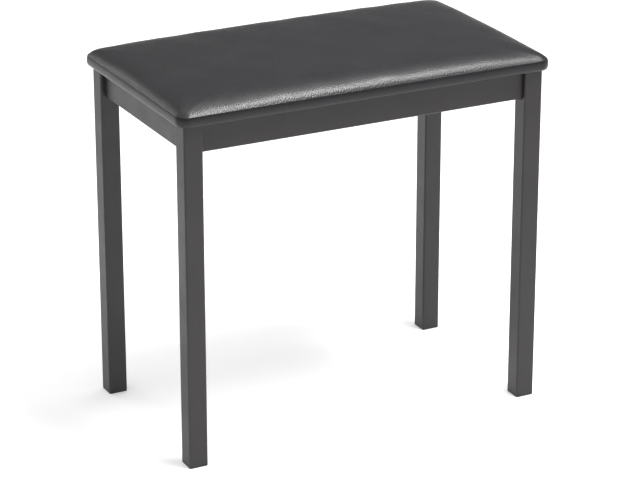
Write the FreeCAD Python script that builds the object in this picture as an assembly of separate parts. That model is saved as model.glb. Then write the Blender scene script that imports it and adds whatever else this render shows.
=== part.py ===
import FreeCAD, Part
import math
import os

# Fixed-height piano bench: a welded frame of square steel tube and a padded vinyl seat on a plywood board.
# Millimetres. X runs along the bench, Y from the front to the rear, Z up; the origin is on the floor at the centre.

os.makedirs("parts", exist_ok=True)
V = FreeCAD.Vector
UP = V(0, 0, 1)

# ---- driving dimensions ----
LEG_SPAN_X = 500.0  # over the outer faces of the legs, along the bench
LEG_SPAN_Y = 280.0  # the same, front to rear
FRAME_TOP = 452.0  # tops of the legs and of the rails, above the floor
LEG_SIZE = 25.4
LEG_WALL = 1.2
LEG_CORNER = 2.5
RAIL_HEIGHT = 38.1
RAIL_DEPTH = 12.7
RAIL_WALL = 1.2
RAIL_CORNER = 2.0

SEAT_OVERHANG = 9.0  # past the legs' outer faces, all round
SEAT_CORNER = 15.0  # plan radius of the seat's corners
SEAT_EDGE_ROUND = 3.0  # where the cover turns under
COVER_THICK = 1.2
COVER_TURN_UNDER = 38.0  # width of the cover's turned-under border, from the seat's edge
BOARD_THICK = 12.0
CROWN_RISE = 17.0  # from the board's top edge to the top of the seat
CROWN_POWER = 3.3  # the crown's section is a superellipse: flat in the middle, steep at the edge
FOAM_GAP = 0.1  # keeps the board and the foam clear of the cover's inside

DUST_THICK = 0.6
DUST_INSET = 31.0  # from the seat's edge
DUST_CORNER = 20.0
STAPLE_INSET = 34.5
STAPLE_PITCH = 44.0
STAPLE_CROWN = 10.0
STAPLE_WIDTH = 1.2
STAPLE_THICK = 0.6
STAPLE_LEG = 8.0
STAPLES_LONG_SIDE = 8
STAPLES_SHORT_SIDE = 3

GUSSET_THICK = 3.0
GUSSET_REACH = 48.0  # along each rail
GUSSET_END = 8.0  # height of the plate's short square ends
GUSSET_NOTCH = 8.35  # clears the leg's inner corner
GUSSET_HOLE = 21.0  # screw hole, from each rail's inner face
GUSSET_HOLE_R = 3.5
WELD_SIZE = 2.5
WELD_RAIL_ENDS = 4.0  # a bead stops this far short of the rail's lower edge
WELD_LENGTH = 28.0
GUSSET_WELD_START = 18.0
GUSSET_WELD_LENGTH = 25.0

SCREW_R = 3.0  # M6
SCREW_HEAD_R = 5.25
SCREW_HEAD_HEIGHT = 3.3
SCREW_HEAD_EDGE = 1.8
SOCKET_ACROSS_FLATS = 4.0
SOCKET_DEPTH = 2.0
WASHER_R = 6.0
WASHER_BORE_R = 3.2
WASHER_THICK = 1.6
LOCK_WASHER_R = 5.6
LOCK_WASHER_GAP = 1.2
LOCK_WASHER_THICK = 1.6
TEE_FLANGE_R = 9.5
TEE_FLANGE_THICK = 1.2
TEE_BARREL_R = 3.9
TEE_BARREL_LENGTH = 9.0
TEE_BORE_R = 3.1
TEE_PRONG_RADIUS = 8.0
TEE_PRONG = (1.0, 2.4, 6.0)

FOOT_FLANGE = 4.0  # the part of the cap below the tube
FOOT_EDGE = 1.5
FOOT_STEM = 20.4
FOOT_STEM_LENGTH = 16.0
FOOT_STEM_BORE = 16.0
FOOT_STEM_FLOOR = 3.0
FOOT_FIN = 22.8  # the tube is 23.0 mm inside
FOOT_FIN_THICK = 1.0
FOOT_FIN_PITCH = 4.0
FOOT_FINS = 4

# ---- derived places ----
LEG_X = (LEG_SPAN_X - LEG_SIZE) / 2  # leg centres
LEG_Y = (LEG_SPAN_Y - LEG_SIZE) / 2
RAIL_BOTTOM = FRAME_TOP - RAIL_HEIGHT
RAIL_INNER_X = LEG_X - RAIL_DEPTH / 2  # inner faces of the left and right rails
RAIL_INNER_Y = LEG_Y - RAIL_DEPTH / 2  # inner faces of the front and rear rails
LEG_INNER_X = LEG_X - LEG_SIZE / 2
LEG_INNER_Y = LEG_Y - LEG_SIZE / 2
SEAT_X = LEG_SPAN_X + 2 * SEAT_OVERHANG
SEAT_Y = LEG_SPAN_Y + 2 * SEAT_OVERHANG
BOARD_BOTTOM = FRAME_TOP + COVER_THICK
BOARD_TOP = BOARD_BOTTOM + BOARD_THICK
DUST_BOTTOM = FRAME_TOP - DUST_THICK
GUSSET_TOP = DUST_BOTTOM
GUSSET_BOTTOM = GUSSET_TOP - GUSSET_THICK
SCREW_X = RAIL_INNER_X - GUSSET_HOLE
SCREW_Y = RAIL_INNER_Y - GUSSET_HOLE
SCREW_SEAT = GUSSET_BOTTOM - WASHER_THICK - LOCK_WASHER_THICK  # underside of the head

CORNERS = {
    "front_left": (-1, -1),
    "front_right": (1, -1),
    "rear_left": (-1, 1),
    "rear_right": (1, 1),
}


def save(name, shape):
    """Writes one node, after checking that it is sound."""
    if not shape.isValid():
        raise ValueError(name + " is not a valid shape")
    shape.exportStep("parts/" + name + ".step")
    print(name, "solids", len(shape.Solids), "volume", round(shape.Volume, 1))


def rounded_rectangle(size_x, size_y, radius, z):
    """A closed wire of four lines and four arcs, centred on the Z axis."""
    hx = size_x / 2
    hy = size_y / 2
    edges = []
    for turn in range(4):
        sx, sy = ((1, -1), (1, 1), (-1, 1), (-1, -1))[turn]
        nx, ny = ((1, 1), (-1, 1), (-1, -1), (1, -1))[turn]
        centre = V(sx * (hx - radius), sy * (hy - radius), z)
        start = math.radians(-90 + 90 * turn)
        points = []
        for step in (0, 45, 90):
            angle = start + math.radians(step)
            points.append(centre + V(radius * math.cos(angle), radius * math.sin(angle), 0))
        edges.append(Part.Arc(*points).toShape())
        next_centre = V(nx * (hx - radius), ny * (hy - radius), z)
        angle = start + math.radians(90)
        line_end = next_centre + V(radius * math.cos(angle), radius * math.sin(angle), 0)
        edges.append(Part.makeLine(points[2], line_end))
    return Part.Wire(edges)


def rounded_block(size_x, size_y, radius, z_low, z_high):
    face = Part.Face(rounded_rectangle(size_x, size_y, radius, z_low))
    return face.extrude(V(0, 0, z_high - z_low))


def square_tube(size_x, size_y, wall, radius, z_low, z_high):
    outer = rounded_block(size_x, size_y, radius, z_low, z_high)
    inner = rounded_block(size_x - 2 * wall, size_y - 2 * wall, radius - wall, z_low, z_high)
    return outer.cut(inner)


def cylinder(radius, z_low, z_high, x=0.0, y=0.0):
    return Part.makeCylinder(radius, z_high - z_low, V(x, y, z_low), UP)


def moved(shape, x, y, z=0.0):
    copy = shape.copy()
    copy.translate(V(x, y, z))
    return copy


def mirrored_to(shape, sx, sy):
    """Takes a shape made for the (+X, +Y) corner to another corner of the bench."""
    if sx < 0:
        shape = shape.mirror(V(0, 0, 0), V(1, 0, 0))
    if sy < 0:
        shape = shape.mirror(V(0, 0, 0), V(0, 1, 0))
    return shape


def at_each_corner(shape):
    """The same shape at all four corners, as separate solids."""
    solids = []
    for sx, sy in CORNERS.values():
        solids.extend(mirrored_to(shape, sx, sy).Solids)
    return Part.makeCompound(solids)


# ---- frame ----
def leg(sx, sy):
    tube = square_tube(LEG_SIZE, LEG_SIZE, LEG_WALL, LEG_CORNER, FOOT_FLANGE, FRAME_TOP)
    return moved(tube, sx * LEG_X, sy * LEG_Y)


def rail_along_x(sy):
    """Front or rear rail: its ends butt the legs' side faces."""
    length = 2 * LEG_INNER_X
    tube = square_tube(RAIL_HEIGHT, RAIL_DEPTH, RAIL_WALL, RAIL_CORNER, -length / 2, length / 2)
    tube.rotate(V(0, 0, 0), V(0, 1, 0), 90)
    return moved(tube, 0, sy * LEG_Y, FRAME_TOP - RAIL_HEIGHT / 2)


def rail_along_y(sx):
    """Left or right rail."""
    length = 2 * LEG_INNER_Y
    tube = square_tube(RAIL_DEPTH, RAIL_HEIGHT, RAIL_WALL, RAIL_CORNER, -length / 2, length / 2)
    tube.rotate(V(0, 0, 0), V(1, 0, 0), 90)
    return moved(tube, sx * LEG_X, 0, FRAME_TOP - RAIL_HEIGHT / 2)


def gusset(sx, sy):
    """Corner plate between two rails, notched round the leg, with a hole for the seat screw."""
    outline = [
        (GUSSET_NOTCH, 0),
        (GUSSET_REACH, 0),
        (GUSSET_REACH, GUSSET_END),
        (GUSSET_END, GUSSET_REACH),
        (0, GUSSET_REACH),
        (0, GUSSET_NOTCH),
        (GUSSET_NOTCH, GUSSET_NOTCH),
    ]
    points = [V(RAIL_INNER_X - u, RAIL_INNER_Y - v, GUSSET_BOTTOM) for u, v in outline]
    plate = Part.Face(Part.makePolygon(points + points[:1])).extrude(V(0, 0, GUSSET_THICK))
    plate = plate.cut(cylinder(GUSSET_HOLE_R, GUSSET_BOTTOM - 1, GUSSET_TOP + 1, SCREW_X, SCREW_Y))
    return mirrored_to(plate, sx, sy)


def bead(corner, side_a, side_b, run):
    """A fillet weld: a quarter round in the corner between side_a and side_b, along run."""
    start = corner + side_a * WELD_SIZE
    end = corner + side_b * WELD_SIZE
    middle = corner + (side_a + side_b) * (WELD_SIZE * math.cos(math.radians(45)))
    section = [Part.makeLine(corner, start), Part.Arc(start, middle, end).toShape(), Part.makeLine(end, corner)]
    return Part.Face(Part.Wire(section)).extrude(run)


def frame_welds():
    """Beads at one corner of the frame: each rail end inside and underneath, and the gusset's two edges."""
    inward_x = V(-1, 0, 0)
    inward_y = V(0, -1, 0)
    down = V(0, 0, -1)
    upright = V(0, 0, WELD_LENGTH)
    low = RAIL_BOTTOM + WELD_RAIL_ENDS
    flat = RAIL_DEPTH - 2 * RAIL_CORNER
    along_x_start = V(RAIL_INNER_X - GUSSET_WELD_START, RAIL_INNER_Y, GUSSET_BOTTOM)
    along_y_start = V(RAIL_INNER_X, RAIL_INNER_Y - GUSSET_WELD_START, GUSSET_BOTTOM)
    beads = [
        bead(V(LEG_INNER_X, RAIL_INNER_Y, low), inward_x, inward_y, upright),
        bead(V(RAIL_INNER_X, LEG_INNER_Y, low), inward_y, inward_x, upright),
        bead(V(LEG_INNER_X, LEG_Y - flat / 2, RAIL_BOTTOM), inward_x, down, V(0, flat, 0)),
        bead(V(LEG_X - flat / 2, LEG_INNER_Y, RAIL_BOTTOM), inward_y, down, V(flat, 0, 0)),
        bead(along_x_start, inward_y, down, inward_x * GUSSET_WELD_LENGTH),
        bead(along_y_start, inward_x, down, inward_y * GUSSET_WELD_LENGTH),
    ]
    return at_each_corner(Part.makeCompound(beads))


def foot_cap(sx, sy):
    """Plastic plug: a flange under the tube's end and a finned stem inside it."""
    flange = rounded_block(LEG_SIZE, LEG_SIZE, LEG_CORNER, 0, FOOT_FLANGE)
    lower_edges = [e for e in flange.Edges if e.BoundBox.ZMax < 0.01]
    cap = flange.makeFillet(FOOT_EDGE, lower_edges)
    stem_top = FOOT_FLANGE + FOOT_STEM_LENGTH
    cap = cap.fuse(rounded_block(FOOT_STEM, FOOT_STEM, LEG_CORNER - LEG_WALL, FOOT_FLANGE, stem_top))
    for i in range(FOOT_FINS):
        low = FOOT_FLANGE + FOOT_FIN_PITCH * (i + 1) - FOOT_FIN_THICK
        cap = cap.fuse(rounded_block(FOOT_FIN, FOOT_FIN, LEG_CORNER - LEG_WALL, low, low + FOOT_FIN_THICK))
    hollow = rounded_block(FOOT_STEM_BORE, FOOT_STEM_BORE, 1.0, FOOT_STEM_FLOOR, stem_top + 1)
    return moved(cap.cut(hollow).removeSplitter(), sx * LEG_X, sy * LEG_Y)


# ---- seat ----
def crown_sections(size_x, size_y, corner, base_z, rise):
    """Rounded rectangles that climb the crown: insets in from the edge, each at its height on a superellipse."""
    half = size_y / 2
    wires = []
    for inset in (0.0, 0.4, 1.5, 3.5, 7.0, 12.0, 19.0, 30.0, 46.0, 70.0, 100.0, 134.0):
        height = rise * math.sqrt(1 - (1 - inset / half) ** CROWN_POWER)
        radius = min(corner + 0.5 * inset, 0.95 * (half - inset))
        wires.append(rounded_rectangle(size_x - 2 * inset, size_y - 2 * inset, radius, base_z + height))
    return wires


def crown(size_x, size_y, corner, base_z, rise):
    return Part.makeLoft(crown_sections(size_x, size_y, corner, base_z, rise), True, True)


def seat_screws():
    """Button-head screw with a hexagon socket, head downwards."""
    shank = cylinder(SCREW_R, SCREW_SEAT, BOARD_TOP, SCREW_X, SCREW_Y)
    head = cylinder(SCREW_HEAD_R, SCREW_SEAT - SCREW_HEAD_HEIGHT, SCREW_SEAT, SCREW_X, SCREW_Y)
    rim = [e for e in head.Edges if e.BoundBox.ZMax < SCREW_SEAT - SCREW_HEAD_HEIGHT + 0.01]
    head = head.makeFillet(SCREW_HEAD_EDGE, rim)
    socket_r = SOCKET_ACROSS_FLATS / math.sqrt(3)
    points = []
    for i in range(7):
        angle = math.radians(60 * i)
        x = SCREW_X + socket_r * math.cos(angle)
        y = SCREW_Y + socket_r * math.sin(angle)
        points.append(V(x, y, SCREW_SEAT - SCREW_HEAD_HEIGHT))
    socket = Part.Face(Part.makePolygon(points)).extrude(V(0, 0, SOCKET_DEPTH))
    return at_each_corner(head.fuse(shank).cut(socket).removeSplitter())


def seat_washers():
    low = GUSSET_BOTTOM - WASHER_THICK
    ring = cylinder(WASHER_R, low, GUSSET_BOTTOM, SCREW_X, SCREW_Y)
    return at_each_corner(ring.cut(cylinder(WASHER_BORE_R, low, GUSSET_BOTTOM, SCREW_X, SCREW_Y)))


def seat_lock_washers():
    """Split spring washer, pressed flat, with its slanting gap."""
    high = SCREW_SEAT + LOCK_WASHER_THICK
    ring = cylinder(LOCK_WASHER_R, SCREW_SEAT, high, SCREW_X, SCREW_Y)
    ring = ring.cut(cylinder(WASHER_BORE_R, SCREW_SEAT, high, SCREW_X, SCREW_Y))
    gap = Part.makeBox(LOCK_WASHER_R + 1, LOCK_WASHER_GAP, 4 * LOCK_WASHER_THICK)
    gap.translate(V(0, -LOCK_WASHER_GAP / 2, -2 * LOCK_WASHER_THICK))
    gap.rotate(V(0, 0, 0), V(1, 0, 0), 25)
    return at_each_corner(ring.cut(moved(gap, SCREW_X, SCREW_Y, SCREW_SEAT + LOCK_WASHER_THICK / 2)))


def seat_tee_nuts():
    """Prong nut pressed into the board from above, its flange level with the board's top."""
    flange_low = BOARD_TOP - TEE_FLANGE_THICK
    nut = cylinder(TEE_FLANGE_R, flange_low, BOARD_TOP)
    nut = nut.fuse(cylinder(TEE_BARREL_R, flange_low - TEE_BARREL_LENGTH, flange_low))
    thick, wide, long = TEE_PRONG
    for i in range(4):
        prong = Part.makeBox(thick, wide, long)
        prong.translate(V(TEE_PRONG_RADIUS - thick / 2, -wide / 2, flange_low - long))
        prong.rotate(V(0, 0, 0), UP, 90 * i + 45)
        nut = nut.fuse(prong)
    nut = nut.cut(cylinder(TEE_BORE_R, flange_low - TEE_BARREL_LENGTH - 1, BOARD_TOP + 1))
    return at_each_corner(moved(nut.removeSplitter(), SCREW_X, SCREW_Y))


def staple(x, y, turned):
    """A staple driven up through the dust cover and the turned-under border into the board."""
    crown_low = DUST_BOTTOM - STAPLE_THICK
    shape = Part.makeBox(STAPLE_CROWN, STAPLE_WIDTH, STAPLE_THICK)
    for u in (0, STAPLE_CROWN - STAPLE_THICK):
        leg_box = Part.makeBox(STAPLE_THICK, STAPLE_WIDTH, STAPLE_LEG + STAPLE_THICK)
        leg_box.translate(V(u, 0, 0))
        shape = shape.fuse(leg_box)
    shape.translate(V(-STAPLE_CROWN / 2, -STAPLE_WIDTH / 2, crown_low))
    if turned:
        shape.rotate(V(0, 0, 0), UP, 90)
    return moved(shape.removeSplitter(), x, y)


def cover_staples():
    solids = []
    line_x = SEAT_X / 2 - STAPLE_INSET
    line_y = SEAT_Y / 2 - STAPLE_INSET
    for side in (-1, 1):
        for i in range(STAPLES_LONG_SIDE):
            x = STAPLE_PITCH * (i - (STAPLES_LONG_SIDE - 1) / 2)
            solids.extend(staple(x, side * line_y, False).Solids)
        for i in range(STAPLES_SHORT_SIDE):
            y = STAPLE_PITCH * (i - (STAPLES_SHORT_SIDE - 1) / 2)
            solids.extend(staple(side * line_x, y, True).Solids)
    return Part.makeCompound(solids)


def seat_board(tee_nuts, staples):
    inset = COVER_THICK + FOAM_GAP
    size_x = SEAT_X - 2 * inset
    size_y = SEAT_Y - 2 * inset
    board = rounded_block(size_x, size_y, SEAT_CORNER - inset, BOARD_BOTTOM, BOARD_TOP)
    bore = cylinder(TEE_BARREL_R, BOARD_BOTTOM - 1, BOARD_TOP, SCREW_X, SCREW_Y)
    return board.cut(at_each_corner(bore)).cut(tee_nuts).cut(staples)


def seat_foam():
    inset = COVER_THICK + FOAM_GAP
    size_x = SEAT_X - 2 * inset
    size_y = SEAT_Y - 2 * inset
    return crown(size_x, size_y, SEAT_CORNER - inset, BOARD_TOP, CROWN_RISE - inset)


def seat_cover(staples):
    """Vinyl skin over the crown and the board's edge, turned under as a border."""
    wires = []
    for degrees in (0, 30, 60, 90):
        angle = math.radians(degrees)
        inset = SEAT_EDGE_ROUND * (1 - math.sin(angle))
        z = FRAME_TOP + SEAT_EDGE_ROUND * (1 - math.cos(angle))
        wires.append(rounded_rectangle(SEAT_X - 2 * inset, SEAT_Y - 2 * inset, SEAT_CORNER - inset, z))
    wires.extend(crown_sections(SEAT_X, SEAT_Y, SEAT_CORNER, BOARD_TOP, CROWN_RISE))
    skin = Part.makeLoft(wires, True, True)
    inner_x = SEAT_X - 2 * COVER_THICK
    inner_y = SEAT_Y - 2 * COVER_THICK
    inner_corner = SEAT_CORNER - COVER_THICK
    skin = skin.cut(rounded_block(inner_x, inner_y, inner_corner, BOARD_BOTTOM, BOARD_TOP))
    skin = skin.cut(crown(inner_x, inner_y, inner_corner, BOARD_TOP, CROWN_RISE - COVER_THICK))
    window_x = SEAT_X - 2 * COVER_TURN_UNDER
    window_y = SEAT_Y - 2 * COVER_TURN_UNDER
    skin = skin.cut(rounded_block(window_x, window_y, SEAT_CORNER, FRAME_TOP - 1, BOARD_BOTTOM + 1))
    return skin.cut(staples)


def dust_cover(staples):
    size_x = SEAT_X - 2 * DUST_INSET
    size_y = SEAT_Y - 2 * DUST_INSET
    sheet = rounded_block(size_x, size_y, DUST_CORNER, DUST_BOTTOM, FRAME_TOP)
    hole = cylinder(GUSSET_HOLE_R, DUST_BOTTOM - 1, FRAME_TOP + 1, SCREW_X, SCREW_Y)
    return sheet.cut(at_each_corner(hole)).cut(staples)


def main():
    for place, (sx, sy) in CORNERS.items():
        save("leg_" + place, leg(sx, sy))
        save("foot_cap_" + place, foot_cap(sx, sy))
        save("gusset_" + place, gusset(sx, sy))
    save("rail_front", rail_along_x(-1))
    save("rail_rear", rail_along_x(1))
    save("rail_left", rail_along_y(-1))
    save("rail_right", rail_along_y(1))
    save("frame_welds", frame_welds())
    tee_nuts = seat_tee_nuts()
    staples = cover_staples()
    save("seat_tee_nuts", tee_nuts)
    save("cover_staples", staples)
    save("seat_board", seat_board(tee_nuts, staples))
    save("seat_foam", seat_foam())
    save("seat_cover", seat_cover(staples))
    save("dust_cover", dust_cover(staples))
    save("seat_screws", seat_screws())
    save("seat_washers", seat_washers())
    save("seat_lock_washers", seat_lock_washers())


main()
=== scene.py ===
import math

import bmesh
import bpy
import numpy as np
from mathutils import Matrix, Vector
from mathutils.bvhtree import BVHTree
from mathutils.interpolate import poly_3d_calc


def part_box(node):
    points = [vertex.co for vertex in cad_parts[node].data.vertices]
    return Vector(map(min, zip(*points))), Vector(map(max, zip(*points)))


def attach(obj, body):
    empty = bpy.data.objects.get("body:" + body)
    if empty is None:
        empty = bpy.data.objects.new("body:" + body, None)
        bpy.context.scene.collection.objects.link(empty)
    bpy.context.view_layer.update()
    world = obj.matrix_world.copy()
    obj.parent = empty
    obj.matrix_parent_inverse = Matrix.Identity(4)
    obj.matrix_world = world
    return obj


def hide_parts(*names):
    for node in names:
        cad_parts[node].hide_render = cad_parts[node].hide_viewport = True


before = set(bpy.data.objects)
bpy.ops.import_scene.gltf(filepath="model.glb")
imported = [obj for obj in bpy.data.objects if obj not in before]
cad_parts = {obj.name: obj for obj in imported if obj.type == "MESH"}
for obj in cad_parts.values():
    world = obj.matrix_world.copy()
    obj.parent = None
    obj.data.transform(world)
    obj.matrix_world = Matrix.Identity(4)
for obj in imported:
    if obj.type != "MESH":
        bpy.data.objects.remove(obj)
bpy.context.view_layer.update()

# A piano bench: a welded black tube frame under a padded vinyl seat. Metres, in the CAD's frame: X runs along
# the bench, Y from the front to the rear, Z up, the floor at 0.

SEAT_LOW, SEAT_HIGH = (np.array(corner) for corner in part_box("seat_cover"))
BOARD_LOW, BOARD_HIGH = (np.array(corner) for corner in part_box("seat_board"))
DUST_LOW, DUST_HIGH = (np.array(corner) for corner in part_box("dust_cover"))

# ---- seat cover ----
HALF_X = (SEAT_HIGH[0] - SEAT_LOW[0]) / 2
HALF_Y = (SEAT_HIGH[1] - SEAT_LOW[1]) / 2
CROWN_BASE = float(BOARD_HIGH[2])
CROWN_RISE = SEAT_HIGH[2] - CROWN_BASE
COVER_THICK = 0.0005
SEAT_CORNER = 0.015  # plan radius of the seat's corners
CORNER_TIGHTEN = 0.6  # up the crown, the radius shrinks this fast with the inset from the seat's edge,
CORNER_LEAST = 0.009  # to this at the least,
CORNER_TURN = 0.007  # and past this inset it is let out again,
CORNER_LOOSEN = 0.8  # this fast
CREASE_INSET = 0.0011  # the wall leans in to the crease along the board's upper edge
CROWN_LENGTH = 0.0105  # the crown rises from the crease as 1 - exp(-inset / length)
CORNER_DROP = 0.37  # the share of its height that it loses at the corners
CORNER_REACH = 0.075  # how far along the sides that is felt
CORNER_BLEND = 0.02  # the two corners of a short side meet over about this length
SWELL = 0.0014  # how far the padding lifts the middle of the cover
UNEVEN = 0.00022  # the cover is pulled over the padding by hand
UNEVEN_FADE = 0.014
LOWER_ROUND = 0.003  # the lower edge is rounded this far in
LOWER_RISE = 0.006  # and this far up
BORDER = 0.038  # the turned-under border's inner edge, from the seat's edge
BORDER_RINGS = 12
LOWER_DEGREES = (0, 15, 30, 45, 60, 75, 90)  # round the lower edge
WALL_SHARES = (0.2, 0.4, 0.6, 0.75, 0.88)  # up the wall, from the lower edge to the crease

# Cells along the straight part of a long side and of a short side, and round a corner.
SEAT_CELLS = (120, 64, 16)
SWELL_CELLS = (60, 32, 8)  # the coarse copy that is simulated, and the padding
DUST_CELLS = (96, 46, 10)
SMOOTHING_PASSES = 60  # for the grid inside the innermost ring
HALVINGS = 40  # when a point's inset is looked for
CROWN_INSETS = (
    1.1, 1.4, 1.8, 2.4, 3.1, 4.0, 5.0, 6.1, 7.3, 8.6, 10.0, 11.6, 13.4, 15.4, 17.6, 20.0,
    22.6, 25.4, 28.4, 31.6, 35.0, 38.6, 42.4, 46.4, 50.6, 55.0, 60.0,
)  # millimetres from the seat's edge, as are the next two
SWELL_INSETS = (1.1, 2.4, 4.5, 7.5, 11.0, 15.0, 20.0, 26.0, 33.0, 41.0, 50.0, 60.0)
PADDING_INSETS = (1.5, 3.0, 5.5, 9.0, 13.0, 18.0, 24.0, 31.0, 39.0, 48.0, 60.0)
PADDING_GAP = 0.0001

# ---- cloth simulation of the seat cover ----
SWELL_FREE = (0.0015, 0.012)  # the cover is held at its edge and free past the second inset
SWELL_FRAMES = 20
SWELL_PRESSURE = 4.0
SWELL_MASS = 0.02
SWELL_STRETCH = 25.0  # stiffness against stretching and squeezing
SWELL_SHEAR = 12.0
SWELL_BEND = 1.5
SWELL_QUALITY = 6
SWELL_FINER = 2  # levels of subdivision

# ---- vinyl grain ----
PEBBLE = 0.0030  # across a pebble
GRAIN_HEIGHT = 0.00011
GRAIN_CHANGE = 0.001  # the wall's grain turns into the crown's this near to the crease

# ---- dust cover ----
DUST_CORNER = 0.020
DUST_SAG = 0.0012
DUST_DRIFT = 0.0003  # uneven slack
DUST_SCALLOP = 0.0006  # between two staples
DUST_FADE = 0.015  # the scallops fade out this far from the edge
DUST_INSETS = (0.0, 0.0015, 0.0035, 0.006, 0.009, 0.013)  # rings along the sheet's edge
STAPLE_PITCH = 0.044
DUST_HOLE = 0.0045  # round each seat screw
SCREW_X, SCREW_Y = 0.20995, 0.09995  # the seat screws' axes, from the middle

# ---- welds ----
WELD_SIZE = 0.0025
WELD_LENGTH = 0.028
WELD_RAIL_END = 0.004  # an upright bead starts this far above the rail's lower edge
WELD_FLAT = 0.0087  # the flat of a rail's underside
GUSSET_WELD_START = 0.018
GUSSET_WELD_LENGTH = 0.025
WELD_RIPPLE = 0.0016
WELD_STEP = 0.0003
WELD_ARC = 8  # cells across a bead

# ---- camera and light ----
CAMERA_AT = (-1.5295, -2.9921, 1.5214)
CAMERA_YAW = math.radians(27.14)
CAMERA_PITCH = math.radians(21.24)
CAMERA_LENS = 155.73
SENSOR_WIDTH = 36.0
FLOOR_REACH = 30.0
FLOOR_COLOUR = (0.80, 0.80, 0.80, 1.0)
FLOOR_GLOW = 0.31  # keeps the floor nearly white in the bench's own shadow
WORLD_STRENGTH = 1.42
# (sine of the angle above the horizon, brightness)
WORLD_STOPS = ((0.0, 0.26), (0.12, 0.26), (0.20, 0.165), (0.54, 0.165), (0.74, 0.90), (1.0, 0.90))
# (name, place, aim, width, depth, watts)
LIGHTS = (
    ("key", (0.60, -0.62, 2.08), (0.0, -0.1, 0.45), 1.32, 0.32, 50.0),
    ("overhead", (0.50, 0.10, 2.20), (0.0, 0.0, 0.45), 1.30, 0.80, 8.0),
    ("rear_left", (-1.30, 2.48, 1.45), (0.0, 0.0, 0.45), 0.95, 0.95, 9.0),
)


# ---- small tools ----
def mesh_object(name, points, faces, smooth=True):
    mesh = bpy.data.meshes.new(name)
    mesh.from_pydata([tuple(p) for p in points], [], [tuple(int(i) for i in f) for f in faces])
    mesh.validate()
    mesh.polygons.foreach_set("use_smooth", [smooth] * len(mesh.polygons))
    mesh.update()
    obj = bpy.data.objects.new(name, mesh)
    bpy.context.scene.collection.objects.link(obj)
    return obj


def ring_faces(count, rings):
    """The quads between consecutive closed rings of count points each."""
    faces = []
    for k in range(rings - 1):
        low, high = k * count, (k + 1) * count
        for i in range(count):
            n = (i + 1) % count
            faces.append((low + i, low + n, high + n, high + i))
    return faces


def evaluated(obj):
    """An object's points with its modifiers, and its faces."""
    shown = obj.evaluated_get(bpy.context.evaluated_depsgraph_get())
    mesh = shown.to_mesh()
    found = np.zeros(len(mesh.vertices) * 3)
    mesh.vertices.foreach_get("co", found)
    faces = [tuple(p.vertices) for p in mesh.polygons]
    shown.to_mesh_clear()
    return found.reshape(-1, 3), faces


def smoothstep(low, high, value):
    t = np.clip((np.asarray(value, float) - low) / (high - low), 0.0, 1.0)
    return t * t * (3 - 2 * t)


class Finish:
    """A material around one Principled shader, with its pattern nodes in object coordinates, in metres."""

    def __init__(self, name, **constants):
        self.material = bpy.data.materials.new(name)
        self.material.use_nodes = True
        self.tree = self.material.node_tree
        self.shader = self.tree.nodes["Principled BSDF"]
        self.place = self.node("ShaderNodeTexCoord").outputs["Object"]
        for socket, value in constants.items():
            self.shader.inputs[socket.replace("_", " ")].default_value = value

    def node(self, kind, inputs=None, **settings):
        made = self.tree.nodes.new(kind)
        for key, value in settings.items():
            setattr(made, key, value)
        for key, value in (inputs or {}).items():
            self.feed(made.inputs[key], value)
        return made

    def feed(self, socket, value):
        if isinstance(value, bpy.types.NodeSocket):
            self.tree.links.new(value, socket)
        else:
            socket.default_value = value

    def set(self, socket, value):
        self.feed(self.shader.inputs[socket], value)

    def stretched(self, scale):
        """The place with each axis multiplied."""
        return self.node("ShaderNodeMapping", {"Vector": self.place, "Scale": scale}).outputs["Vector"]

    def noise(self, size, detail=2.0, rough=0.5, place=None):
        """Soft blotches about size across, from 0 to 1."""
        inputs = {"Vector": place or self.place, "Scale": 1 / size, "Detail": detail, "Roughness": rough}
        return self.node("ShaderNodeTexNoise", inputs).outputs["Fac"]

    def cells(self, size, feature="F1", place=None, randomness=1.0, flat=False):
        """Distances in cells about size across: solid, or flat and so the same at every height."""
        made = self.node("ShaderNodeTexVoronoi", feature=feature, voronoi_dimensions="2D" if flat else "3D")
        self.feed(made.inputs["Vector"], place or self.place)
        self.feed(made.inputs["Scale"], 1 / size)
        self.feed(made.inputs["Randomness"], randomness)
        return made.outputs["Distance"]

    def height(self):
        return self.node("ShaderNodeSeparateXYZ", {"Vector": self.place}).outputs["Z"]

    def math(self, operation, a, b=0.0, c=0.0):
        made = self.node("ShaderNodeMath", {0: a, 1: b, 2: c}, operation=operation)
        return made.outputs["Value"]

    def between(self, value, low, high, from_low=0.0, from_high=1.0):
        """The value, mapped from one range to another and held inside it."""
        inputs = {"Value": value, "From Min": from_low, "From Max": from_high, "To Min": low, "To Max": high}
        return self.node("ShaderNodeMapRange", inputs).outputs["Result"]

    def mix(self, factor, a, b):
        made = self.node("ShaderNodeMix", data_type="RGBA")
        self.feed(made.inputs[0], factor)
        self.feed(made.inputs[6], (*a, 1.0) if isinstance(a, tuple) and len(a) == 3 else a)
        self.feed(made.inputs[7], (*b, 1.0) if isinstance(b, tuple) and len(b) == 3 else b)
        return made.outputs[2]

    def bump(self, height, distance, strength=1.0, under=None):
        inputs = {"Height": height, "Distance": distance, "Strength": strength}
        if under is not None:
            inputs["Normal"] = under
        return self.node("ShaderNodeBump", inputs).outputs["Normal"]


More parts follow.
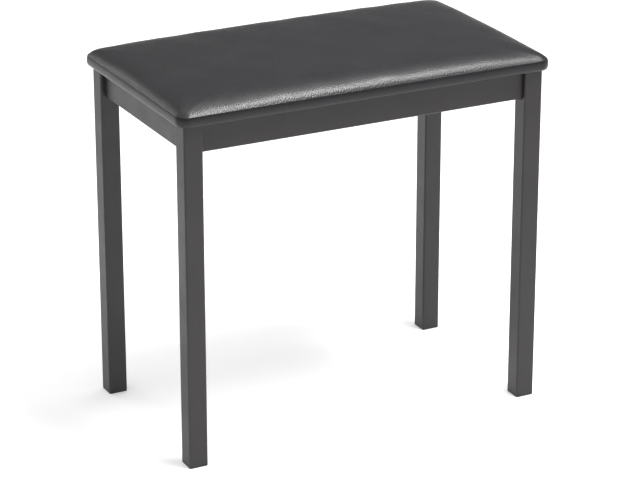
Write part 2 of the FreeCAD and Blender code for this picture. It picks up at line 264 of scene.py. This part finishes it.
# ---- finishes ----
def black_vinyl():
    """Leather-grain vinyl with a faint purple cast: pebbles with creases between them, and pores.

    The crown's pebbles are flat cells, because its shallow curve would cut solid ones unevenly."""
    f = Finish("vinyl", IOR=1.42)
    pebble = f.cells(PEBBLE, "SMOOTH_F1", flat=True)
    crease = f.between(f.cells(PEBBLE, "DISTANCE_TO_EDGE", flat=True), 0.0, 1.0, 0.0, 0.30)
    on_crown = f.between(f.height(), 0.0, 1.0, CROWN_BASE - GRAIN_CHANGE, CROWN_BASE + GRAIN_CHANGE)
    crown_grain = f.math("MULTIPLY", f.math("MULTIPLY_ADD", pebble, -0.55, crease), on_crown)
    wall_grain = f.between(f.noise(0.0011, 2.0), 0.0, 1.0, 0.3, 0.7)
    wall_grain = f.math("MULTIPLY", wall_grain, f.math("SUBTRACT", 1.0, on_crown))
    grain = f.math("ADD", crown_grain, wall_grain)
    pores = f.noise(0.00045, 1.0)
    f.set("Normal", f.bump(f.math("MULTIPLY_ADD", pores, 0.06, grain), GRAIN_HEIGHT, 0.9))
    tone = f.between(f.noise(0.05, 3.0), 0.0, 1.0, 0.3, 0.7)
    colour = f.mix(tone, (0.0095, 0.0085, 0.0100), (0.0130, 0.0118, 0.0136))
    # Along the creases between the pebbles the colour is painted darker: painted shade in the grain.
    f.set("Base Color", f.mix(f.between(crease, 0.35, 0.0), colour, (0.0065, 0.0060, 0.0072)))
    rough = f.between(f.noise(0.018, 3.0), 0.30, 0.35, 0.3, 0.7)
    f.set("Roughness", f.math("MULTIPLY_ADD", f.noise(0.004, 2.0), 0.03, rough))
    return f.material


def frame_paint():
    """Satin powder coat with orange peel."""
    f = Finish("powder_coat", IOR=1.46)
    peel = f.noise(0.0016, 1.5)
    grit = f.noise(0.00035, 2.0)
    normal = f.bump(peel, 0.00006, 0.35)
    f.set("Normal", f.bump(grit, 0.00002, 0.35, normal))
    tone = f.between(f.noise(0.06, 3.0), 0.0, 1.0, 0.3, 0.7)
    f.set("Base Color", f.mix(tone, (0.0185, 0.0158, 0.0164), (0.0230, 0.0200, 0.0207)))
    f.set("Roughness", f.between(f.noise(0.03, 4.0), 0.38, 0.47, 0.3, 0.7))
    return f.material


def foot_plastic():
    """Moulded polyethylene with a spark-eroded texture and scuffs low down."""
    f = Finish("foot_moulding", IOR=1.5)
    f.set("Normal", f.bump(f.noise(0.0005, 3.0), 0.00005, 0.6))
    low_down = f.between(f.height(), 1.0, 0.0, 0.0, 0.002)
    scuffs = f.math("MULTIPLY", low_down, f.between(f.noise(0.003, 4.0), 0.0, 1.0, 0.45, 0.7))
    f.set("Base Color", f.mix(scuffs, (0.016, 0.016, 0.0165), (0.06, 0.058, 0.055)))
    f.set("Roughness", f.between(f.noise(0.006, 3.0), 0.48, 0.62, 0.3, 0.7))
    return f.material


def zinc_plate():
    """Bright zinc on steel: a cool grey with faint yellow-blue patches and fine scratches."""
    f = Finish("zinc", Metallic=1.0)
    patches = f.between(f.noise(0.004, 4.0), 0.0, 1.0, 0.35, 0.65)
    f.set("Base Color", f.mix(patches, (0.52, 0.54, 0.57), (0.62, 0.60, 0.53)))
    scratches = f.noise(0.0006, 3.0, place=f.stretched((1.0, 8.0, 8.0)))
    f.set("Roughness", f.between(scratches, 0.28, 0.48, 0.3, 0.7))
    f.set("Normal", f.bump(scratches, 0.00002, 0.5))
    return f.material


def black_screw():
    """Oiled black oxide on steel."""
    f = Finish("black_oxide", Metallic=0.85)
    patches = f.noise(0.0015, 4.0)
    worn = f.between(patches, 0.0, 1.0, 0.35, 0.7)
    f.set("Base Color", f.mix(worn, (0.030, 0.030, 0.032), (0.058, 0.055, 0.052)))
    f.set("Roughness", f.between(patches, 0.30, 0.46, 0.3, 0.7))
    f.set("Normal", f.bump(f.noise(0.0004, 2.0), 0.00002, 0.5))
    return f.material


def plywood():
    """Birch ply: grain on the faces, plies of two tones on the edges."""
    f = Finish("ply", IOR=1.5)
    ply = f.math("PINGPONG", f.math("SUBTRACT", f.height(), float(BOARD_LOW[2])), 0.0015)
    plies = f.between(ply, 0.0, 1.0, 0.00065, 0.00085)
    grain = f.noise(0.004, 6.0, 0.65, f.stretched((0.08, 1.0, 1.0)))
    rings = f.noise(0.03, 3.0, 0.5, f.stretched((0.12, 1.0, 1.0)))
    pale = f.mix(f.between(rings, 0.0, 1.0, 0.35, 0.65), (0.58, 0.43, 0.27), (0.47, 0.33, 0.19))
    face = f.mix(f.between(grain, 0.0, 0.5, 0.5, 0.75), pale, (0.30, 0.19, 0.10))
    f.set("Base Color", f.mix(f.math("MULTIPLY", plies, 0.45), face, (0.27, 0.17, 0.09)))
    f.set("Roughness", f.between(grain, 0.55, 0.75, 0.3, 0.7))
    f.set("Normal", f.bump(grain, 0.0001, 0.5))
    return f.material


def foam():
    """Open-cell cream foam."""
    f = Finish("open_cell_foam", IOR=1.4, Subsurface_Weight=0.1)
    pores = f.cells(0.0012)
    # The pores are painted darker than the cell walls round them: painted shade in the hollows.
    f.set("Base Color", f.mix(f.between(pores, 0.0, 1.0, 0.0, 0.5), (0.42, 0.33, 0.14), (0.78, 0.68, 0.38)))
    f.set("Roughness", f.between(pores, 0.85, 0.95))
    f.set("Normal", f.bump(pores, 0.0004, 0.8))
    return f.material


def non_woven():
    """Black spun-bonded cloth: loose fibres pressed together at a grid of small dots."""
    f = Finish("spun_bond", IOR=1.4, Sheen_Weight=0.15, Sheen_Roughness=0.5)
    eighth_turn = (0.0, 0.0, math.radians(45))
    turned = f.node("ShaderNodeMapping", {"Vector": f.place, "Rotation": eighth_turn}).outputs["Vector"]
    dots = f.between(f.cells(0.0018, place=turned, randomness=0.0), 0.0, 1.0, 0.28, 0.42)
    fibres = f.noise(0.0007, 5.0, 0.7, f.stretched((1.0, 2.6, 1.0)))
    cloudy = f.between(f.noise(0.012, 4.0), 0.0, 1.0, 0.3, 0.7)
    height = f.math("MULTIPLY_ADD", fibres, 0.35, dots)
    f.set("Normal", f.bump(height, 0.00018, 0.7))
    base = f.mix(cloudy, (0.018, 0.018, 0.019), (0.034, 0.034, 0.035))
    f.set("Base Color", f.mix(f.between(dots, 0.5, 0.0), base, (0.010, 0.010, 0.011)))
    f.set("Roughness", f.between(dots, 0.55, 0.9))
    return f.material


FINISHES = {
    "black_vinyl": black_vinyl(),
    "frame_paint": frame_paint(),
    "foot_plastic": foot_plastic(),
    "zinc_plate": zinc_plate(),
    "black_screw": black_screw(),
    "plywood": plywood(),
    "foam": foam(),
    "non_woven": non_woven(),
}


def finish_cad_nodes():
    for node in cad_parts.values():
        for slot in node.material_slots:
            slot.material = FINISHES[slot.material.name]


def add_piece(obj, slot, *replaced):
    """Gives a new piece its finish and its body, and hides the CAD nodes that it stands for."""
    obj.data.materials.append(FINISHES[slot])
    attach(obj, "root")
    if replaced:
        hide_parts(*replaced)


# ---- rounded-rectangle patches, for the seat and the dust cover ----
class Outline:
    """Nested rounded rectangles about the Z axis, each with the same number of points."""

    def __init__(self, half_x, half_y, cells_x, cells_y, cells_arc):
        self.half_x, self.half_y = half_x, half_y
        self.cells_x, self.cells_y, self.cells_arc = cells_x, cells_y, cells_arc
        self.count = 2 * (cells_x + cells_y) + 4 * cells_arc

    def ring(self, inset, radius):
        """Plan points, counter-clockwise seen from above, from the middle of the front-left arc."""
        corner_x = self.half_x - inset - radius
        corner_y = self.half_y - inset - radius
        corners = ((-1, -1), (1, -1), (1, 1), (-1, 1))
        outward = ((0, -1), (1, 0), (0, 1), (-1, 0))
        points = []
        for turn, (sx, sy) in enumerate(corners):
            for i in range(self.cells_arc):
                angle = math.radians(180 + 90 * (turn + i / self.cells_arc))
                x = sx * corner_x + radius * math.cos(angle)
                points.append((x, sy * corner_y + radius * math.sin(angle)))
            side = radius * np.array(outward[turn])
            next_sx, next_sy = corners[(turn + 1) % 4]
            start = np.array((sx * corner_x, sy * corner_y)) + side
            end = np.array((next_sx * corner_x, next_sy * corner_y)) + side
            cells = self.cells_y if turn % 2 else self.cells_x
            points.extend(start + (end - start) * i / cells for i in range(cells))
        return np.roll(np.array(points), -(self.cells_arc // 2), axis=0)

    def filled(self, edge):
        """A grid of plan points that fills the ring edge: a Coons patch, then smoothed."""
        nx, ny = self.cells_x + self.cells_arc, self.cells_y + self.cells_arc
        front = edge[: nx + 1]
        right = edge[nx : nx + ny + 1]
        rear = edge[nx + ny : 2 * nx + ny + 1][::-1]
        left = np.vstack([edge[2 * nx + ny :], edge[:1]])[::-1]
        u = np.linspace(0, 1, nx + 1)[:, None, None]
        v = np.linspace(0, 1, ny + 1)[None, :, None]
        grid = (1 - v) * front[:, None] + v * rear[:, None] + (1 - u) * left[None] + u * right[None]
        grid -= (1 - u) * (1 - v) * front[0] + u * (1 - v) * front[-1]
        grid -= (1 - u) * v * rear[0] + u * v * rear[-1]
        for _ in range(SMOOTHING_PASSES):
            near = grid[2:, 1:-1] + grid[:-2, 1:-1] + grid[1:-1, 2:] + grid[1:-1, :-2]
            grid[1:-1, 1:-1] = near / 4
        return grid

    def along(self, i, j, nx, ny):
        """Where a point on the edge of that grid is along the ring."""
        if j == 0:
            return i
        if i == nx:
            return nx + j
        if j == ny:
            return nx + ny + (nx - i)
        return (2 * nx + ny + (ny - j)) % self.count

    def patch(self, rings):
        """Plan points and faces of a sheet: rings of (inset, radius), and a grid inside the last one."""
        plans = [self.ring(inset, radius) for inset, radius in rings]
        faces = ring_faces(self.count, len(rings))
        grid = self.filled(plans[-1])
        nx, ny = grid.shape[0] - 1, grid.shape[1] - 1
        index = np.zeros((nx + 1, ny + 1), int)
        fresh = len(rings) * self.count
        for i in range(nx + 1):
            for j in range(ny + 1):
                if 0 < i < nx and 0 < j < ny:
                    index[i, j] = fresh
                    fresh += 1
                else:
                    index[i, j] = (len(rings) - 1) * self.count + self.along(i, j, nx, ny)
        plans.append(grid[1:-1, 1:-1].reshape(-1, 2))
        for i in range(nx):
            for j in range(ny):
                faces.append((index[i, j], index[i + 1, j], index[i + 1, j + 1], index[i, j + 1]))
        return np.vstack(plans), faces


# ---- seat cushion ----
def crown_radius(inset):
    """The plan radius of the corners at an inset from the seat's edge."""
    tight = np.maximum(SEAT_CORNER - CORNER_TIGHTEN * inset, CORNER_LEAST)
    return tight + CORNER_LOOSEN * np.maximum(inset - CORNER_TURN, 0.0)


def crown_height(plan, inset, rise):
    """Above the crease: a full roll along the sides, drawn down towards the corners."""
    from_corner = HALF_X - np.abs(plan[:, 0]) + HALF_Y - np.hypot(plan[:, 1], CORNER_BLEND)
    drawn = 1 - CORNER_DROP * np.exp(-from_corner / CORNER_REACH)
    return rise * drawn * (1 - np.exp(-np.maximum(inset - CREASE_INSET, 0.0) / CROWN_LENGTH))


def unevenness(plan, inset):
    """Long shallow waves in the cover, none at the crease. The wave numbers are per metre."""
    x, y = plan[:, 0], plan[:, 1]
    waves = np.sin(47 * x + 0.9) * np.cos(38 * y - 0.5) + 0.6 * np.sin(83 * x + 61 * y + 2.1)
    waves += 0.5 * np.sin(131 * x - 74 * y + 0.4)
    return UNEVEN * waves * smoothstep(CREASE_INSET, UNEVEN_FADE, inset)


def inset_of(plan):
    """Which of the nested rounded rectangles each plan point lies on, found by halving."""
    x, y = np.abs(plan[:, 0]), np.abs(plan[:, 1])
    low, high = np.zeros(len(x)), np.full(len(x), HALF_Y)
    for _ in range(HALVINGS):
        middle = (low + high) / 2
        radius = np.minimum(crown_radius(middle), HALF_Y - middle)
        dx = np.maximum(x - (HALF_X - middle - radius), 0.0)
        dy = np.maximum(y - (HALF_Y - middle - radius), 0.0)
        inside = np.hypot(dx, dy) <= radius
        low, high = np.where(inside, middle, low), np.where(inside, high, middle)
    return low


def crown(outline, insets, rise):
    """The top of the cushion before it swells: points and faces."""
    plan, faces = outline.patch([(inset, crown_radius(inset)) for inset in insets])
    inset = inset_of(plan)
    height = CROWN_BASE + crown_height(plan, inset, rise) + unevenness(plan, inset)
    return np.column_stack([plan, height]), faces


def swell():
    """Blows up a coarse copy of the cover as cloth, and scales its shifts down so that the largest is SWELL.

    Gives a function from plan points to shifts."""
    outline = Outline(HALF_X, HALF_Y, *SWELL_CELLS)
    points, faces = crown(outline, np.array(SWELL_INSETS) / 1000, CROWN_RISE - SWELL)
    cloth_object = mesh_object("swell_cloth", points, faces)
    free = smoothstep(*SWELL_FREE, inset_of(points[:, :2]))
    pins = cloth_object.vertex_groups.new(name="held")
    for i, value in enumerate(1 - free):
        if value > 0:
            pins.add([i], float(value), "REPLACE")
    cloth = cloth_object.modifiers.new("swell", "CLOTH")
    settings = cloth.settings
    settings.quality = SWELL_QUALITY
    settings.mass = SWELL_MASS
    settings.tension_stiffness = SWELL_STRETCH
    settings.compression_stiffness = SWELL_STRETCH
    settings.shear_stiffness = SWELL_SHEAR
    settings.bending_stiffness = SWELL_BEND
    settings.use_pressure = True
    settings.uniform_pressure_force = SWELL_PRESSURE
    settings.vertex_group_mass = pins.name
    settings.effector_weights.gravity = 0.0
    finer = cloth_object.modifiers.new("finer", "SUBSURF")
    finer.levels = finer.render_levels = SWELL_FINER
    cloth.show_viewport = False
    start, mesh_faces = evaluated(cloth_object)
    cloth.show_viewport = True
    scene = bpy.context.scene
    for number in range(1, SWELL_FRAMES + 1):
        scene.frame_set(number)
    shift = evaluated(cloth_object)[0] - start
    scene.frame_set(1)
    bpy.data.objects.remove(cloth_object)
    shift *= SWELL / np.linalg.norm(shift, axis=1).max()
    flat = [Vector((x, y, 0.0)) for x, y, _ in start]
    tree = BVHTree.FromPolygons(flat, mesh_faces)

    def shift_at(plan):
        found = np.zeros((len(plan), 3))
        for i, (x, y) in enumerate(plan):
            place, _, face, _ = tree.find_nearest((x, y, 0.0))
            corners = mesh_faces[face]
            weights = poly_3d_calc([flat[c] for c in corners], place)
            found[i] = sum(w * shift[c] for w, c in zip(weights, corners))
        return found

    return shift_at


def wall_rings():
    """(inset, radius, height) of the rings below the crown: the border, the lower edge and the wall."""
    bottom = SEAT_LOW[2]
    rings = []
    for inset in np.linspace(BORDER, LOWER_ROUND, BORDER_RINGS)[:-1]:
        rings.append((inset, SEAT_CORNER, bottom))
    for degrees in LOWER_DEGREES:
        angle = math.radians(degrees)
        inset = LOWER_ROUND * (1 - math.sin(angle))
        rings.append((inset, SEAT_CORNER - inset, bottom + LOWER_RISE * (1 - math.cos(angle))))
    for share in WALL_SHARES:
        z = bottom + LOWER_RISE + share * (CROWN_BASE - bottom - LOWER_RISE)
        lean = CREASE_INSET * share**3
        rings.append((lean, crown_radius(lean), z))
    return rings


def seat_cover(shift_at):
    """From the border's inner edge, round the board's edge and over the crown."""
    outline = Outline(HALF_X, HALF_Y, *SEAT_CELLS)
    top, top_faces = crown(outline, np.array(CROWN_INSETS) / 1000, CROWN_RISE - SWELL)
    top = top + shift_at(top[:, :2])
    below = wall_rings()
    points = []
    for inset, radius, z in below:
        points.append(np.column_stack([outline.ring(inset, radius), np.full(outline.count, z)]))
    faces = ring_faces(outline.count, len(below) + 1)
    first = len(below) * outline.count
    faces.extend(tuple(first + i for i in face) for face in top_faces)
    cushion = mesh_object("seat_cushion", np.vstack(points + [top]), faces)
    skin = cushion.modifiers.new("skin", "SOLIDIFY")
    skin.thickness = COVER_THICK
    skin.offset = -1.0
    add_piece(cushion, "black_vinyl", "seat_cover")


def seat_foam(shift_at):
    """The padding, just under the cover and flat on the board."""
    outline = Outline(HALF_X, HALF_Y, *SWELL_CELLS)
    upper, upper_faces = crown(outline, np.array(PADDING_INSETS) / 1000, CROWN_RISE - SWELL)
    upper = upper + shift_at(upper[:, :2]) - np.array((0.0, 0.0, COVER_THICK + PADDING_GAP))
    rim = outline.count
    upper[:rim, 2] = CROWN_BASE
    lower = upper[rim:].copy()
    lower[:, 2] = CROWN_BASE
    under = [tuple(i if i < rim else i + len(lower) for i in face[::-1]) for face in upper_faces]
    padding = mesh_object("seat_padding", np.vstack([upper, lower]), upper_faces + under)
    add_piece(padding, "foam", "seat_foam")


def seat_cushion():
    shift_at = swell()
    seat_cover(shift_at)
    seat_foam(shift_at)


# ---- dust cover ----
def dust_cover():
    """The non-woven sheet stapled under the seat: it hangs a little between its staples and in the middle."""
    half_x, half_y = DUST_HIGH[0], DUST_HIGH[1]
    outline = Outline(half_x, half_y, *DUST_CELLS)
    plan, faces = outline.patch([(inset, DUST_CORNER) for inset in DUST_INSETS])
    x, y = plan[:, 0], plan[:, 1]
    from_edge = np.minimum(half_x - np.abs(x), half_y - np.abs(y))
    middle = np.clip(1 - (np.abs(x) / half_x) ** 4 - (np.abs(y) / half_y) ** 4, 0.0, 1.0) ** 2
    near_long_side = (half_y - np.abs(y)) < (half_x - np.abs(x))
    along = np.where(near_long_side, x + STAPLE_PITCH / 2, y)
    between = (1 - np.cos(2 * math.pi * along / STAPLE_PITCH)) / 2
    clear = smoothstep(0.0, 0.15, middle)
    slack = DUST_SCALLOP * between * np.exp(-from_edge / DUST_FADE) * clear
    drift = np.sin(31 * x + 1.3) * np.cos(43 * y + 0.4) + 0.5 * np.sin(67 * x - 52 * y)
    sag = middle * (DUST_SAG + DUST_DRIFT * drift)
    z = DUST_HIGH[2] - slack - sag
    sheet = mesh_object("dust_sheet", np.column_stack([plan, z]), faces)
    opened = bmesh.new()
    opened.from_mesh(sheet.data)
    cut = []
    for face in opened.faces:
        centre = face.calc_center_median()
        if math.hypot(abs(centre.x) - SCREW_X, abs(centre.y) - SCREW_Y) < DUST_HOLE:
            cut.append(face)
    bmesh.ops.delete(opened, geom=cut, context="FACES")
    opened.to_mesh(sheet.data)
    opened.free()
    skin = sheet.modifiers.new("skin", "SOLIDIFY")
    skin.thickness = DUST_HIGH[2] - DUST_LOW[2]
    skin.offset = -1.0
    add_piece(sheet, "non_woven", "dust_cover")


# ---- welds ----
def bead(corner, side_a, side_b, run, length):
    """A fillet weld with the crescent ripples of a moving torch: points and faces."""
    corner, side_a, side_b, run = (np.array(v, float) for v in (corner, side_a, side_b, run))
    slices = round(length / WELD_STEP)
    arc = np.linspace(0.0, math.pi / 2, WELD_ARC + 1)
    points = []
    for k in range(slices + 1):
        s = length * k / slices
        # The ends are rounded off, and each ripple bows forward in the middle of the bead.
        from_end = min(s, length - s)
        taper = math.sqrt(max(0.03, 1 - (1 - min(from_end / WELD_SIZE, 1.0)) ** 2))
        phase = s / WELD_RIPPLE + 0.55 * (1 - np.abs(arc - math.pi / 4) / (math.pi / 4)) ** 0.7
        ripple = (phase % 1.0) * (1 - phase % 1.0) * 4
        radius = WELD_SIZE * taper * (0.86 + 0.14 * ripple)
        points.append(corner + run * s)
        for angle, r in zip(arc, radius):
            points.append(corner + run * s + side_a * math.cos(angle) * r + side_b * math.sin(angle) * r)
    wide = WELD_ARC + 2
    faces = ring_faces(wide, slices + 1)
    faces.append(tuple(range(wide)))
    faces.append(tuple(slices * wide + i for i in range(wide))[::-1])
    return points, faces


def weld_beads():
    """The same six beads at each corner of the frame."""
    leg_low, leg_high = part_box("leg_rear_right")
    rail_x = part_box("rail_right")[0][0]
    rail_y, rail_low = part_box("rail_rear")[0][1:]
    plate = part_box("gusset_rear_right")[0][2]
    middle_x, middle_y = (leg_low[0] + leg_high[0]) / 2, (leg_low[1] + leg_high[1]) / 2
    west, south, down = (-1, 0, 0), (0, -1, 0), (0, 0, -1)
    start = rail_low + WELD_RAIL_END
    # At the rear right corner: rail to leg inside, rail to leg underneath, and gusset to rail.
    beads = (
        ((leg_low[0], rail_y, start), west, south, (0, 0, 1), WELD_LENGTH),
        ((rail_x, leg_low[1], start), south, west, (0, 0, 1), WELD_LENGTH),
        ((leg_low[0], middle_y - WELD_FLAT / 2, rail_low), west, down, (0, 1, 0), WELD_FLAT),
        ((middle_x - WELD_FLAT / 2, leg_low[1], rail_low), south, down, (1, 0, 0), WELD_FLAT),
        ((rail_x - GUSSET_WELD_START, rail_y, plate), south, down, west, GUSSET_WELD_LENGTH),
        ((rail_x, rail_y - GUSSET_WELD_START, plate), west, down, south, GUSSET_WELD_LENGTH),
    )
    points, faces = [], []
    for sx in (-1, 1):
        for sy in (-1, 1):
            for description in beads:
                made, made_faces = bead(*description)
                first = len(points)
                points.extend(np.array(made) * (sx, sy, 1))
                faces.extend(tuple(first + i for i in face) for face in made_faces)
    welds = mesh_object("weld_beads", points, faces)
    turned = bmesh.new()
    turned.from_mesh(welds.data)
    bmesh.ops.recalc_face_normals(turned, faces=turned.faces)
    turned.to_mesh(welds.data)
    turned.free()
    add_piece(welds, "frame_paint", "frame_welds")


# ---- stage ----
def stage():
    corners = [(sx * FLOOR_REACH, sy * FLOOR_REACH, 0.0) for sx, sy in ((-1, -1), (1, -1), (1, 1), (-1, 1))]
    floor = mesh_object("floor", corners, [(0, 1, 2, 3)], False)
    f = Finish("pale_floor", IOR=1.3)
    f.set("Base Color", FLOOR_COLOUR)
    f.set("Roughness", 0.9)
    f.set("Specular IOR Level", 0.0)
    f.set("Emission Color", (1.0, 1.0, 1.0, 1.0))
    f.set("Emission Strength", FLOOR_GLOW)
    floor.data.materials.append(f.material)

    world = bpy.data.worlds.new("studio")
    bpy.context.scene.world = world
    world.use_nodes = True
    tree = world.node_tree
    place = tree.nodes.new("ShaderNodeTexCoord")
    axes = tree.nodes.new("ShaderNodeSeparateXYZ")
    ramp = tree.nodes.new("ShaderNodeValToRGB")
    tree.links.new(place.outputs["Generated"], axes.inputs["Vector"])
    tree.links.new(axes.outputs["Z"], ramp.inputs["Fac"])
    ramp.color_ramp.elements[0].position = 0.0
    ramp.color_ramp.elements[1].position = 1.0
    for position, _ in WORLD_STOPS[1:-1]:
        ramp.color_ramp.elements.new(position)
    for element, (_, value) in zip(ramp.color_ramp.elements, WORLD_STOPS):
        element.color = (value, value, value, 1.0)
    background = tree.nodes["Background"]
    background.inputs["Strength"].default_value = WORLD_STRENGTH
    tree.links.new(ramp.outputs["Color"], background.inputs["Color"])


def soft_light(name, at, aim, size_x, size_y, power):
    lamp = bpy.data.lights.new(name, "AREA")
    lamp.shape = "RECTANGLE"
    lamp.size, lamp.size_y = size_x, size_y
    lamp.energy = power
    obj = bpy.data.objects.new(name, lamp)
    obj.location = at
    obj.rotation_euler = (Vector(aim) - Vector(at)).to_track_quat("-Z", "Y").to_euler()
    obj.visible_camera = False
    bpy.context.scene.collection.objects.link(obj)


def camera():
    data = bpy.data.cameras.new("camera")
    data.sensor_width = SENSOR_WIDTH
    data.lens = CAMERA_LENS
    obj = bpy.data.objects.new("camera", data)
    obj.location = CAMERA_AT
    obj.rotation_euler = (math.pi / 2 - CAMERA_PITCH, 0.0, -CAMERA_YAW)
    bpy.context.scene.collection.objects.link(obj)
    bpy.context.scene.camera = obj


bpy.context.scene.view_settings.view_transform = "Standard"
camera()
finish_cad_nodes()
seat_cushion()
dust_cover()
weld_beads()
stage()
for light in LIGHTS:
    soft_light(*light)
